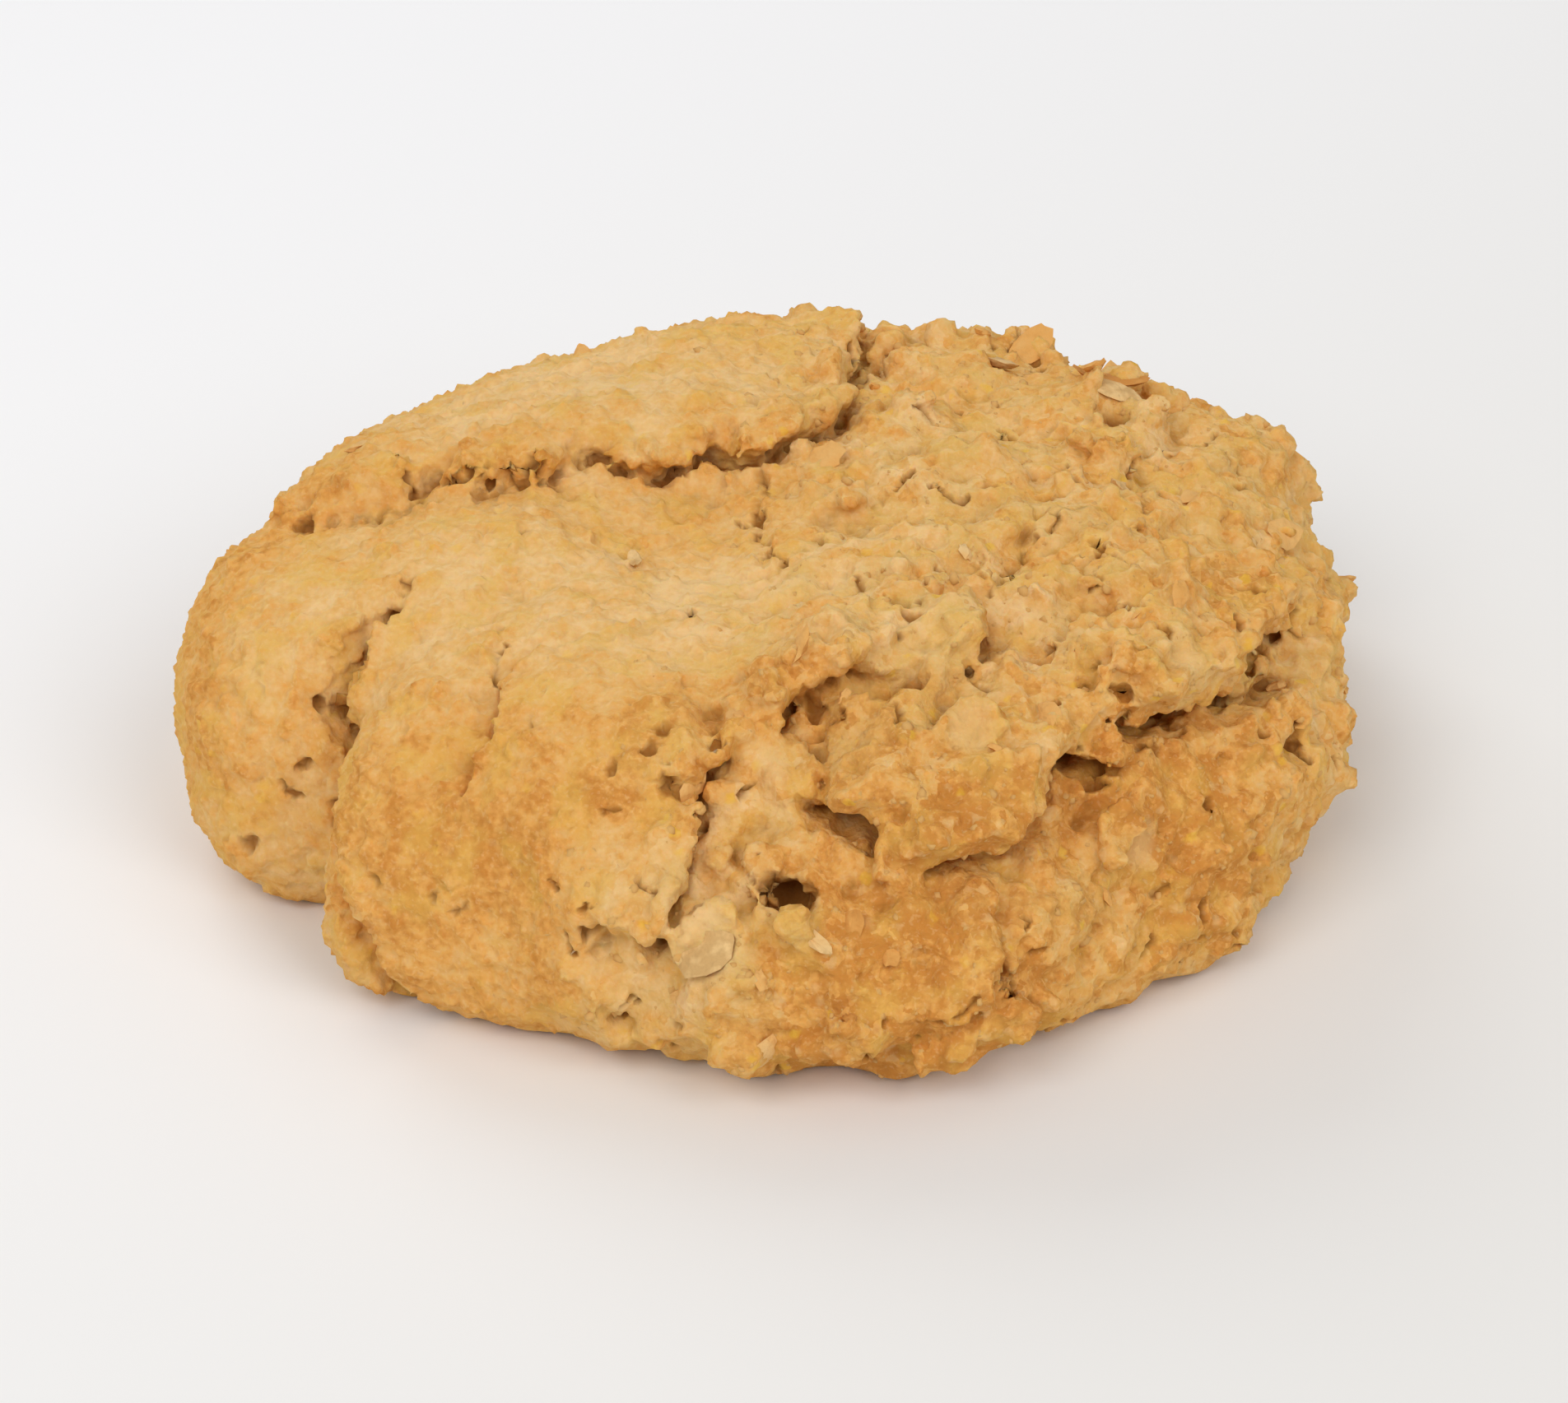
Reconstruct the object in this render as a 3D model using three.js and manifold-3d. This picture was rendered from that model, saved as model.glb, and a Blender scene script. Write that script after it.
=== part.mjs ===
// Oatmeal cookie: one baked lump of oat dough, domed, cracked and craggy, with the oat flakes that
// show on it. Millimetres, +Z up, seen from the front along +Y. It rests on its flat underside and
// the origin lies under the middle of it.
import * as THREE from "three";
import { ImprovedNoise } from "three/addons/math/ImprovedNoise.js";
import { mergeVertices } from "three/addons/utils/BufferGeometryUtils.js";
import Module from "manifold-3d";

// Driving dimensions
const RADIUS = 38; // mean radius at the girth, where the side stands out furthest
const CROWN = 22.6; // height of the dome's middle, before its hollow
const GIRTH = 6; // height of the girth above the table
const DOME_ROUND = 0.58; // how square the dome's shoulder is in plan, 1 being a ball
const DOME_FLAT = 0.83; // how flat the dome's top is, 1 being a ball
const FOOT_ROUND = 0.5; // how square the side is below the girth
const FOOT_DEPTH = 1.6; // the foot is this many girths deep, and is cut flat at the table
const SKIN_REACH = 57; // the skin is made out to this distance from the crown, just below the table
const SKIN_CELLS = 50; // cells across the skin, a little over 2 mm each
const FLOOR_BELOW = 6; // the uncut lump goes this far below the table

// The outline is a circle with a few swellings and bays, by their direction in degrees.
const OUTLINE = [
  { at: 31, spread: 9, by: 0.7 },
  { at: 52, spread: 26, by: 3.4 },
  { at: 130, spread: 20, by: -2.4 },
  { at: 195, spread: 13, by: 1.8 },
  { at: 213, spread: 7, by: -5.2 },
  { at: 226, spread: 6, by: 0.8 },
  { at: 247, spread: 16, by: -1.8 },
  { at: 287, spread: 10, by: 1.4 },
  { at: 307, spread: 8, by: -1.4 },
  { at: 350, spread: 14, by: -0.7 },
];

// Places on the skin are [right, back]: the direction from the crown as seen from above, and the
// distance from it along the skin.
// Broad rises and hollows: middle, radius and height.
const SWELLS = [
  { at: [-7, -5], radius: 11, rise: -2.3 },
  { at: [-19, 15], radius: 13, rise: 1.0 },
  { at: [5, -19], radius: 6, rise: 1.2 },
  { at: [9, -30], radius: 5, rise: 0.8 },
  { at: [23, -12], radius: 9, rise: 1.4 },
  { at: [-15, -31], radius: 12, rise: 0.9 },
  { at: [-20, -26], radius: 3.5, rise: -1.0 },
  { at: [-36.5, 1], radius: 6.5, rise: 1.6 },
  { at: [-34, 10], radius: 4, rise: -1.0 },
  { at: [-5, 25], radius: 12, rise: 1.3 },
  { at: [33, 17], radius: 11, rise: 2.0 },
  { at: [14, 14], radius: 9, rise: -0.7 },
  { at: [-2, -34], radius: 4, rise: -1.2 },
];

// Torn edges, where one plate of dough stands over the next. The plate is on the left of its line.
// lift and drop: how far the plate stands up and the dough before it sinks, over reach and foot.
// over: how far the edge leans out. mouth and gap: height and depth of the crevice under it. shut: the
// share of the line from its start along which the crevice is nearly closed.
const EDGES = [
  {
    line: [
      [-40, 27], [-37, 15.5], [-33.5, 7.5], [-31, 4], [-27.5, 3], [-22.5, 4], [-15.5, 2.5], [-12.5, 5.5],
      [-8, 4.5], [-5, 7], [-1.5, 5.5], [1.5, 7], [4, 9.5], [5, 18], [6, 26], [5, 36],
    ],
    lift: 1.2, drop: 0.6, reach: 9, foot: 5, over: 0.5, mouth: 1.2, gap: 2.6, shut: 0.5,
  },
  {
    line: [[-22.5, -9], [-26, -12.5], [-29, -15.5], [-31.5, -18], [-32.5, -21.5], [-31.5, -26], [-31, -31]],
    lift: 0.4, drop: 0.9, reach: 6, foot: 4, over: 0, mouth: 1.3, gap: 1.8, shut: 0,
  },
  {
    line: [[-15.5, -18], [-17, -21.5], [-17.5, -24], [-18.5, -27], [-21, -31]],
    lift: 0.4, drop: 0.8, reach: 4, foot: 3, over: 0.2, mouth: 0.9, gap: 1.2, shut: 0,
  },
  {
    line: [[-1, -27.5], [2.5, -23.8], [5, -22], [8.5, -21], [11, -20], [13, -18.5], [14.5, -15.5]],
    lift: 1.6, drop: 1.4, reach: 4.5, foot: 4.5, over: 1.2, mouth: 1.3, gap: 2.4, shut: 0,
  },
  {
    line: [[0.5, -31], [5.5, -32.8], [9.5, -33.2], [14.5, -32], [17, -29.5], [20, -27], [25, -26.5]],
    lift: 1.7, drop: 1.9, reach: 5.5, foot: 5, over: 1.2, mouth: 1.7, gap: 3.4, shut: 0,
  },
  {
    line: [[18, -19], [20.5, -21], [23.5, -22], [26, -20.5], [28.5, -16], [29.5, -13], [33, -8], [36, -6]],
    lift: 2.1, drop: 2.5, reach: 7, foot: 5.5, over: 1.1, mouth: 1.7, gap: 4.2, shut: 0,
  },
  {
    line: [[-14, -50], [-12.5, -41.5], [-9, -41], [-7.5, -39], [-5.5, -36], [-4.5, -31], [-2, -27]],
    lift: 0.9, drop: 1.6, reach: 5, foot: 4, over: 0.6, mouth: 1.3, gap: 2.2, shut: 0,
  },
  {
    line: [[17, -44], [14.5, -37.5], [15.5, -34]],
    lift: 0.7, drop: 0.9, reach: 4, foot: 3, over: 0.4, mouth: 1.1, gap: 1.6, shut: 0,
  },
];

// Plain cracks: line, width at the skin and depth.
const CRACKS = [
  { line: [[2, -25], [3, -30], [2.5, -35]], width: 1.2, depth: 2.6 },
  {
    line: [[-22, -8.5], [-26.5, -12], [-30, -15], [-32.5, -17.5], [-33.5, -21], [-32, -26]],
    width: 1.8, depth: 4.2,
  },
  { line: [[-32.5, -22], [-31, -31], [-32.5, -40], [-33.5, -53]], width: 3.0, depth: 3.0 },
  { line: [[31, -16.5], [34.5, -12.5], [37, -9]], width: 3.0, depth: 3.6 },
  { line: [[0, 2], [-0.7, -7], [0.5, -10.3], [0, -14]], width: 0.7, depth: 1.6 },
  { line: [[19, -1], [16.5, -5], [15, -10.5], [13, -15]], width: 0.8, depth: 1.5 },
  { line: [[22, -4], [23.4, 3], [22.5, 7], [28, 12]], width: 0.8, depth: 1.5 },
  { line: [[8, 18], [6, 26], [9, 33], [8, 42]], width: 1.2, depth: 2.0 },
  { line: [[-13, 27], [-18, 33], [-17, 38], [-21, 46]], width: 1.0, depth: 1.8 },
];

// Pits, where crumb has fallen out: place, radius and depth.
const PITS = [
  { at: [1.7, -38.5], radius: 1.3, depth: 3.6 },
  { at: [3.3, -34], radius: 1.5, depth: 2.8 },
  { at: [-5.7, -32], radius: 1.5, depth: 1.9 },
  { at: [-8.7, -41], radius: 1.0, depth: 1.6 },
  { at: [-12, -43], radius: 1.4, depth: 1.5 },
  { at: [2.4, -25.5], radius: 1.1, depth: 2.4 },
  { at: [36, -17], radius: 1.6, depth: 2.0 },
  { at: [21.5, 13], radius: 1.3, depth: 1.6 },
  { at: [-37, -25], radius: 1.1, depth: 1.2 },
  { at: [13.9, -44], radius: 1.6, depth: 1.8 },
  { at: [7.7, -15], radius: 0.9, depth: 1.1 },
];

// Oat flakes that stand out by themselves: place, length, width, the turn of the length from
// straight right and the tilt of its far end, both in degrees.
const SINGLE_FLAKES = [
  { at: [-4, -41.5], size: [6.2, 5.6], turn: 80, tilt: 6 },
  { at: [15, -45.5], size: [9, 3.2], turn: 40, tilt: 4 },
  { at: [16.6, 25], size: [5.2, 4.4], turn: 60, tilt: 22 },
  { at: [21, 18], size: [6.5, 3.6], turn: 10, tilt: 18 },
  { at: [7.5, 27], size: [4.4, 3.4], turn: 40, tilt: 16 },
  { at: [12, 26], size: [4.2, 3.2], turn: 120, tilt: 18 },
  { at: [12, -27], size: [4.4, 3.8], turn: 30, tilt: 8 },
  { at: [23.8, -31], size: [4.6, 3.4], turn: 70, tilt: 10 },
  { at: [25.7, -18], size: [3.2, 3.0], turn: 0, tilt: 8 },
  { at: [2.4, -41], size: [5.6, 1.9], turn: 130, tilt: 14 },
  { at: [-11.2, -42.5], size: [4.6, 3.8], turn: 20, tilt: 6 },
  { at: [-1, -49], size: [4.8, 3.8], turn: 170, tilt: 14 },
  { at: [5, -46], size: [4.6, 3.4], turn: 100, tilt: 12 },
];
const FLAKE_THICK = 0.9; // thickness of a flake
const FLAKE_SIDES = 6; // sides of a flake's outline
const FLAKE_SUNK = 0.5; // how deep a flake sits in the dough, as a share of its thickness
const FLAKE_CURL = 0.09; // how much a flake bends up along its length

// The other flakes follow a spiral over the torn side of the cookie.
const SPREAD_FLAKES = 40; // steps of the spiral, most of which fall on the torn side
const SPREAD_REACH = 47; // the spiral ends at this distance from the crown
const GOLDEN_ANGLE = Math.PI * (3 - Math.sqrt(5));
const SPREAD_SIZES = { length: [3.0, 4.6], width: [2.2, 3.2], tilt: [4, 18] }; // tilt on level dough
const LEAST_TORN = 0.5; // flakes lie where the dough is at least this torn
const CLEAR_OF_FLAKES = 4.5; // and at least this far from another
const LEAST_LEVEL = 0.3; // and not on the steep side, where the normal's upward part is less than this

const toRadians = THREE.MathUtils.degToRad;
const { lerp, smoothstep } = THREE.MathUtils;
const UP = new THREE.Vector3(0, 0, 1);
const grain = new ImprovedNoise();

// An even share from 0 to 1 that is always the same for the same number.
function share(number) {
  const wave = Math.sin(number * 12.9898) * 43758.5453;
  return wave - Math.floor(wave);
}

// The skin
// The profile from the crown outwards: distance along the skin, radius and height.
function skinProfile() {
  const steps = 900;
  const rows = [];
  let reach = 0;
  for (let i = 0; i <= steps; i++) {
    const turn = (Math.PI * i) / steps;
    const sine = Math.sin(turn);
    const cosine = Math.abs(Math.cos(turn));
    const upper = turn <= Math.PI / 2;
    const radius = RADIUS * sine ** (upper ? DOME_ROUND : FOOT_ROUND);
    const height = upper ? GIRTH + (CROWN - GIRTH) * cosine ** DOME_FLAT : GIRTH * (1 - FOOT_DEPTH * cosine);
    const last = rows[i - 1];
    if (last) reach += Math.hypot(radius - last.radius, height - last.height);
    rows.push({ reach, radius, height });
  }
  return rows;
}
const PROFILE = skinProfile();

// The profile at a distance from the crown, with its outward slope.
function profileAt(reach) {
  const next = Math.max(1, PROFILE.findIndex((row) => row.reach >= reach));
  const [a, b] = [PROFILE[next - 1], PROFILE[next]];
  const part = (reach - a.reach) / (b.reach - a.reach);
  const slope = new THREE.Vector2(a.height - b.height, b.radius - a.radius).normalize();
  return { radius: lerp(a.radius, b.radius, part), height: lerp(a.height, b.height, part), slope };
}

// The outline's radius at an angle, as a share of the mean radius.
function outlineAt(angle) {
  const degrees = THREE.MathUtils.radToDeg(angle);
  const swells = OUTLINE.map(({ at, spread, by }) => {
    const off = THREE.MathUtils.euclideanModulo(degrees - at + 180, 360) - 180;
    return by * Math.exp(-((off / spread) ** 2));
  });
  return 1 + swells.reduce((sum, by) => sum + by, 0) / RADIUS;
}

// The plain skin at a place: its point and its outward normal.
function plainSkin([right, back]) {
  const angle = Math.atan2(back, right);
  const { radius, height, slope } = profileAt(Math.hypot(right, back));
  const wide = radius * outlineAt(angle);
  const point = new THREE.Vector3(wide * Math.cos(angle), wide * Math.sin(angle), height);
  const normal = new THREE.Vector3(slope.x * Math.cos(angle), slope.x * Math.sin(angle), slope.y);
  return { point, normal };
}

// How torn the dough is at a place: 0 on the smooth left side, 1 on the craggy right side.
function tornAt([right, back]) {
  const border = 1 + 0.38 * Math.min(0, back + 12);
  return smoothstep(right, border - 5, border + 5);
}

// Uneven lumps of the dough, rougher where it is torn.
function lumps(point, torn) {
  const at = (size) => grain.noise(point.x / size + 7.3, point.y / size + 2.1, point.z / size + 5.7);
  return at(13) * 1.1 + at(6.5) * lerp(0.5, 1.9, torn) + at(3.6) * lerp(0.2, 1.2, torn);
}

// How far the lumps, rises and hollows lift the skin at a place.
function riseAt(place) {
  const { point } = plainSkin(place);
  const swells = SWELLS.map(({ at, radius, rise }) => {
    const apart = plainSkin(at).point.distanceTo(point) / radius;
    return rise * Math.exp(-(apart ** 2));
  });
  return swells.reduce((sum, rise) => sum + rise, lumps(point, tornAt(place)));
}

const LIP_WIDTH = 1.5; // the rise along a line is the lesser of the one on it and the one so far to its left

// A line over the skin as evenly spaced stations, each with its point, its normal, the way to its left
// and the rise of the skin there.
function stationsAlong(line, spacing) {
  const curve = new THREE.CatmullRomCurve3(line.map(([right, back]) => new THREE.Vector3(right, back, 0)));
  const count = Math.max(3, Math.ceil(curve.getLength() / spacing));
  return Array.from({ length: count + 1 }, (_, i) => {
    const part = i / count;
    const flat = curve.getPointAt(part);
    const ahead = curve.getTangentAt(part);
    const place = [flat.x, flat.y];
    const { point, normal } = plainSkin(place);
    const further = plainSkin([flat.x + ahead.x * 0.1, flat.y + ahead.y * 0.1]).point;
    const left = new THREE.Vector3().crossVectors(normal, further.sub(point)).normalize();
    const inside = [flat.x - ahead.y * LIP_WIDTH, flat.y + ahead.x * LIP_WIDTH];
    const rise = Math.min(riseAt(place), riseAt(inside));
    return { point, normal, left, part, rise };
  });
}

const STATION_SPACING = 2.2;
const TAPER = 0.16; // an edge or crack dies out over this share of its length at each end
const taperAt = (part) => smoothstep(Math.min(part, 1 - part), -0.02, TAPER);
const edges = EDGES.map((edge) => ({ ...edge, stations: stationsAlong(edge.line, STATION_SPACING) }));

// The station of a line that lies nearest to a point.
function nearest(stations, point) {
  let best = stations[0];
  for (const station of stations)
    if (station.point.distanceToSquared(point) < best.point.distanceToSquared(point)) best = station;
  return best;
}

// A point of the skin close to an edge, moved beside it, so that the edge is clean from end to end.
const EDGE_DRAW = 1.15; // points this near to an edge are drawn to it
const EDGE_HALF = 0.3; // and end up this far from it, on their own side
function drawnToEdge({ stations }, point) {
  const station = nearest(stations, point);
  const across = new THREE.Vector3().subVectors(point, station.point).dot(station.left);
  if (Math.abs(across) > EDGE_DRAW || point.distanceTo(station.point) > 1.5 * EDGE_DRAW) return point;
  const beside = Math.sign(across) * EDGE_HALF;
  return point.clone().addScaledVector(station.left, (beside - across) * taperAt(station.part));
}

// How an edge moves the skin: its plate up and outwards, and the dough before it down.
function edgeShift({ stations, lift, drop, reach, foot, over }, point, normal) {
  const shift = new THREE.Vector3();
  const station = nearest(stations, point);
  const apart = point.distanceTo(station.point);
  if (apart > 2.5 * Math.max(reach, foot)) return shift;
  const fade = taperAt(station.part);
  const onPlate = new THREE.Vector3().subVectors(point, station.point).dot(station.left) > 0;
  if (!onPlate) return shift.addScaledVector(normal, -drop * fade * Math.exp(-((apart / foot) ** 2)));
  shift.addScaledVector(normal, lift * fade * Math.exp(-((apart / reach) ** 2)));
  return shift.addScaledVector(station.left, -over * fade * Math.exp(-((apart / (0.4 * reach)) ** 2)));
}

// The baked surface at a place on the skin, with its lumps, swells and torn edges.
function surface(place) {
  const { point: plain, normal } = plainSkin(place);
  const point = edges.reduce((spot, edge) => drawnToEdge(edge, spot), plain);
  const moved = point.clone().addScaledVector(normal, riseAt(place));
  for (const edge of edges) moved.add(edgeShift(edge, point, normal));
  return moved;
}

// Solids
const wasm = await Module();
wasm.setup();

// A geometry with only its points, each of them shared by the faces that meet there.
function welded(geometry) {
  const extra = Object.keys(geometry.attributes).filter((name) => name !== "position");
  for (const name of extra) geometry.deleteAttribute(name);
  return mergeVertices(geometry);
}

// A closed welded geometry as a solid, turned right side out.
function solidOf(geometry) {
  const spots = geometry.getAttribute("position");
  const triVerts = new Uint32Array(geometry.index.array);
  const corner = (i) => new THREE.Vector3().fromBufferAttribute(spots, triVerts[i]);
  let volume = 0;
  for (let i = 0; i < triVerts.length; i += 3) volume += corner(i).dot(corner(i + 1).cross(corner(i + 2)));
  if (volume < 0)
    for (let i = 0; i < triVerts.length; i += 3)
      [triVerts[i + 1], triVerts[i + 2]] = [triVerts[i + 2], triVerts[i + 1]];
  return new wasm.Manifold(new wasm.Mesh({ numProp: 3, vertProperties: spots.array, triVerts }));
}

// A plain geometry welded, with every point of it moved to where the rule puts it.
function shaped(plain, rule) {
  const geometry = welded(plain);
  const spots = geometry.getAttribute("position");
  const spot = new THREE.Vector3();
  for (let i = 0; i < spots.count; i++) {
    const moved = rule(spot.fromBufferAttribute(spots, i));
    spots.setXYZ(i, moved.x, moved.y, moved.z);
  }
  return geometry;
}

// A square from -1 to 1 drawn round into a disc, with its rings kept even.
function squareToDisc(x, y) {
  if (x === 0 && y === 0) return [0, 0];
  const wide = Math.abs(x) > Math.abs(y);
  const radius = wide ? x : y;
  const angle = wide ? (Math.PI / 4) * (y / x) : Math.PI / 2 - (Math.PI / 4) * (x / y);
  return [radius * Math.cos(angle), radius * Math.sin(angle)];
}

// The lump of dough, reaching below the table.
function doughLump() {
  const slab = new THREE.BoxGeometry(2, 2, 2, SKIN_CELLS, SKIN_CELLS, 1);
  return shaped(slab, ({ x, y, z }) => {
    const place = squareToDisc(x, y).map((part) => part * SKIN_REACH);
    const moved = z > 0 ? surface(place) : plainSkin(place).point;
    if (z < 0) moved.z = -FLOOR_BELOW;
    return moved;
  });
}

// A wedge that runs along stations: section gives its three corners at one of them.
function wedgeAlong(stations, section) {
  const steps = stations.length - 1;
  const prism = new THREE.CylinderGeometry(1, 1, 1, 3, steps);
  return shaped(prism, ({ x, y, z }) => {
    const station = stations[Math.round((y + 0.5) * steps)];
    const corners = section(station);
    if (Math.hypot(x, z) < 0.5) return corners[0].clone().add(corners[1]).add(corners[2]).divideScalar(3);
    const corner = THREE.MathUtils.euclideanModulo(Math.round((Math.atan2(x, z) * 3) / (2 * Math.PI)), 3);
    return corners[corner];
  });
}

// A point beside a station: so far to its left and so far up.
const beside = ({ point, normal, left }, across, up) =>
  point.clone().addScaledVector(left, across).addScaledVector(normal, up);

const CREVICE_LEAN = 0.8; // how far it runs in under the plate, as a share of its depth
const LEAST_SECTION = 0.12; // a wedge thins out to this share at its ends
const SHUT_SECTION = 0.3; // and to this share where its crevice is nearly closed
const SHUT_FADE = 0.1; // it opens over this share of the line

// The crevice under a torn edge.
function crevice({ stations, drop, over, mouth, gap, shut }) {
  return wedgeAlong(stations, (station) => {
    const fade = taperAt(station.part);
    const opening = smoothstep(station.part, shut - SHUT_FADE, shut + SHUT_FADE);
    const open = shut ? lerp(SHUT_SECTION, 1, opening) : 1;
    const size = Math.max(LEAST_SECTION, fade * open);
    const ground = station.rise - drop * fade;
    return [
      beside(station, -over * fade - mouth * size, ground + 0.5 * size),
      beside(station, -0.2 * over * fade, ground + mouth * size),
      beside(station, gap * CREVICE_LEAN * size, ground - gap * size),
    ];
  });
}

// A crack that goes straight down.
function crack({ line, width, depth }) {
  const clear = 2.5;
  return wedgeAlong(stationsAlong(line, STATION_SPACING), (station) => {
    const size = Math.max(LEAST_SECTION, taperAt(station.part));
    const half = (width / 2) * size * (1 + clear / depth);
    return [
      beside(station, -half, station.rise + clear),
      beside(station, half, station.rise + clear),
      beside(station, 0, station.rise - depth * size),
    ];
  });
}

// A geometry stood on the baked surface at a place, with its own Z along the skin's normal.
function standOn(geometry, place, sink, turn = 0, tilt = 0) {
  const { normal } = plainSkin(place);
  const frame = new THREE.Object3D();
  frame.position.copy(surface(place)).addScaledVector(normal, -sink);
  frame.quaternion.setFromUnitVectors(UP, normal);
  frame.rotateZ(toRadians(turn));
  frame.rotateY(-toRadians(tilt));
  frame.updateMatrix();
  return geometry.applyMatrix4(frame.matrix);
}

// A pit: a small uneven ball, half of it above the skin.
function pit({ at, radius, depth }) {
  const ball = shaped(new THREE.IcosahedronGeometry(1, 0), (spot) => {
    const uneven = 1 + 0.25 * grain.noise(spot.x * 2 + at[0], spot.y * 2 + at[1], spot.z * 2);
    return spot.multiply(new THREE.Vector3(radius, radius, depth)).multiplyScalar(uneven);
  });
  return standOn(ball, at, 0);
}

// An oat flake: a thin uneven oval, bent up at its ends.
function flake({ at, size: [length, width], turn, tilt }) {
  const plate = new THREE.CylinderGeometry(1, 0.86, FLAKE_THICK, FLAKE_SIDES);
  plate.rotateX(Math.PI / 2);
  const oval = shaped(plate, (spot) => {
    const side = Math.round((Math.atan2(spot.y, spot.x) * FLAKE_SIDES) / (2 * Math.PI));
    const uneven = 0.88 + 0.24 * share(side + at[0] * 3 + at[1] * 7);
    spot.x *= (length / 2) * uneven;
    spot.y *= (width / 2) * uneven;
    spot.z += FLAKE_CURL * spot.x ** 2 * (2 / length) * 2;
    return spot;
  });
  return standOn(oval, at, FLAKE_THICK * (FLAKE_SUNK - 0.5), turn, tilt);
}

// The flakes of the spiral that lie on torn dough, clear of each other and of the single ones.
function spreadFlakes() {
  const placed = SINGLE_FLAKES.map(({ at }) => plainSkin(at).point);
  const found = [];
  for (let i = 0; i < SPREAD_FLAKES; i++) {
    const reach = SPREAD_REACH * Math.sqrt((i + 0.5) / SPREAD_FLAKES);
    const at = [reach * Math.cos(i * GOLDEN_ANGLE), reach * Math.sin(i * GOLDEN_ANGLE)];
    const { point, normal } = plainSkin(at);
    const crowded = placed.some((other) => other.distanceTo(point) < CLEAR_OF_FLAKES);
    if (crowded || tornAt(at) < LEAST_TORN || normal.z < LEAST_LEVEL) continue;
    const pick = ([least, most], draw) => lerp(least, most, share(i + draw));
    const { length, width, tilt } = SPREAD_SIZES;
    placed.push(point);
    const size = [pick(length, 0.1), pick(width, 0.2)];
    found.push({ at, size, turn: 360 * share(i + 0.3), tilt: normal.z * pick(tilt, 0.4) });
  }
  return found;
}

// What lies below the table.
function belowTable() {
  const side = 4 * RADIUS;
  return welded(new THREE.BoxGeometry(side, side, 2 * FLOOR_BELOW).translate(0, 0, -FLOOR_BELOW));
}

// The cookie: the lump with its crevices, cracks and pits cut and its flakes joined on, cut flat
// underneath. Only the largest body is kept, so loose scraps and sealed hollows go.
function cookieSolid() {
  const cuts = [...edges.map(crevice), ...CRACKS.map(crack), ...PITS.map(pit)];
  const flakes = [...SINGLE_FLAKES, ...spreadFlakes()].map(flake);
  let solid = solidOf(doughLump());
  for (const cut of cuts) solid = solid.subtract(solidOf(cut));
  for (const piece of flakes) solid = solid.add(solidOf(piece));
  solid = solid.subtract(solidOf(belowTable()));
  return solid.decompose().reduce((a, b) => (b.volume() > a.volume() ? b : a));
}

// A solid as a geometry with flat facets, its footprint's middle over the origin.
function geometryOf(solid) {
  const { numProp, vertProperties, triVerts } = solid.getMesh();
  const geometry = new THREE.BufferGeometry();
  geometry.setAttribute("position", new THREE.BufferAttribute(vertProperties, numProp));
  geometry.setIndex(new THREE.BufferAttribute(triVerts, 1));
  geometry.computeBoundingBox();
  const middle = geometry.boundingBox.getCenter(new THREE.Vector3());
  geometry.translate(-middle.x, -middle.y, -geometry.boundingBox.min.z);
  geometry.computeVertexNormals();
  return geometry;
}

const bakedDough = new THREE.MeshStandardMaterial({ color: "#d69f5b", roughness: 0.9, metalness: 0 });

const cookie = new THREE.Mesh(geometryOf(cookieSolid()), bakedDough);
cookie.name = "cookie";

const part = new THREE.Group();
part.add(cookie);

export default part;
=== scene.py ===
import math

import bpy
import numpy as np
from bpy.props import FloatProperty, FloatVectorProperty, IntProperty, PointerProperty
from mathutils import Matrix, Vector


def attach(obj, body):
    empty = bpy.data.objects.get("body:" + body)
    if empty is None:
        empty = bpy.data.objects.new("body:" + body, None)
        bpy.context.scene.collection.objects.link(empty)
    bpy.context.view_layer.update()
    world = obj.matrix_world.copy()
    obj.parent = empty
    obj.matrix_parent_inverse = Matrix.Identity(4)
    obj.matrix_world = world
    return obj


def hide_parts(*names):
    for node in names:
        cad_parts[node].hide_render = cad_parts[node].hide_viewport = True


bl_info = {
    "name": "Oatmeal Cookie",
    "version": (1, 0, 0),
    "blender": (4, 5, 0),
    "location": "View3D > Sidebar > Cookie",
    "description": "Dresses the cookie's solid with baked dough, oat flakes and meal",
    "category": "Object",
}

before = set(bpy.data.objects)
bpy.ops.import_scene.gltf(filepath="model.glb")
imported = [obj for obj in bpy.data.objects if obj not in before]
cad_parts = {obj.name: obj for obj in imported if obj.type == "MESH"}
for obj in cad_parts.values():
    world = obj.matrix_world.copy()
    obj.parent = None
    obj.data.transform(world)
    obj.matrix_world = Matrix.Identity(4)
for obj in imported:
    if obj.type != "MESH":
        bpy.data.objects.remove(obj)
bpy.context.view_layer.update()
MM = 0.001
FULL_TURN = 6.28

# Steps that the weights of a vertex group are rounded to.
WEIGHT_STEPS = 40

# Points round the rim of an oat flake.
FLAKE_RIM = 14

# How deep the deepest pore is, in depths of a fine crack.
DEEPEST_PORE = 1.5

# The crust faces away from a point this many millimetres below the table.
BELOW_TABLE = 12

# How toasted the dough is as a whole, and at most.
PLAIN_TOAST, MOST_TOAST = 0.375, 0.95

# Rounds of smoothing that give the surroundings of a place, from near to wide.
NEAR, MIDDLE, BROAD, WIDE = 10, 60, 200, 300

# Soft lights: name, and place and width in metres.
LIGHTS = (
    ("key", (-0.55, -1.05, 1.15), 1.10),
    ("fill", (0.75, -0.95, 1.05), 1.10),
    ("rim", (-0.60, 0.95, 0.80), 0.90),
)

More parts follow.
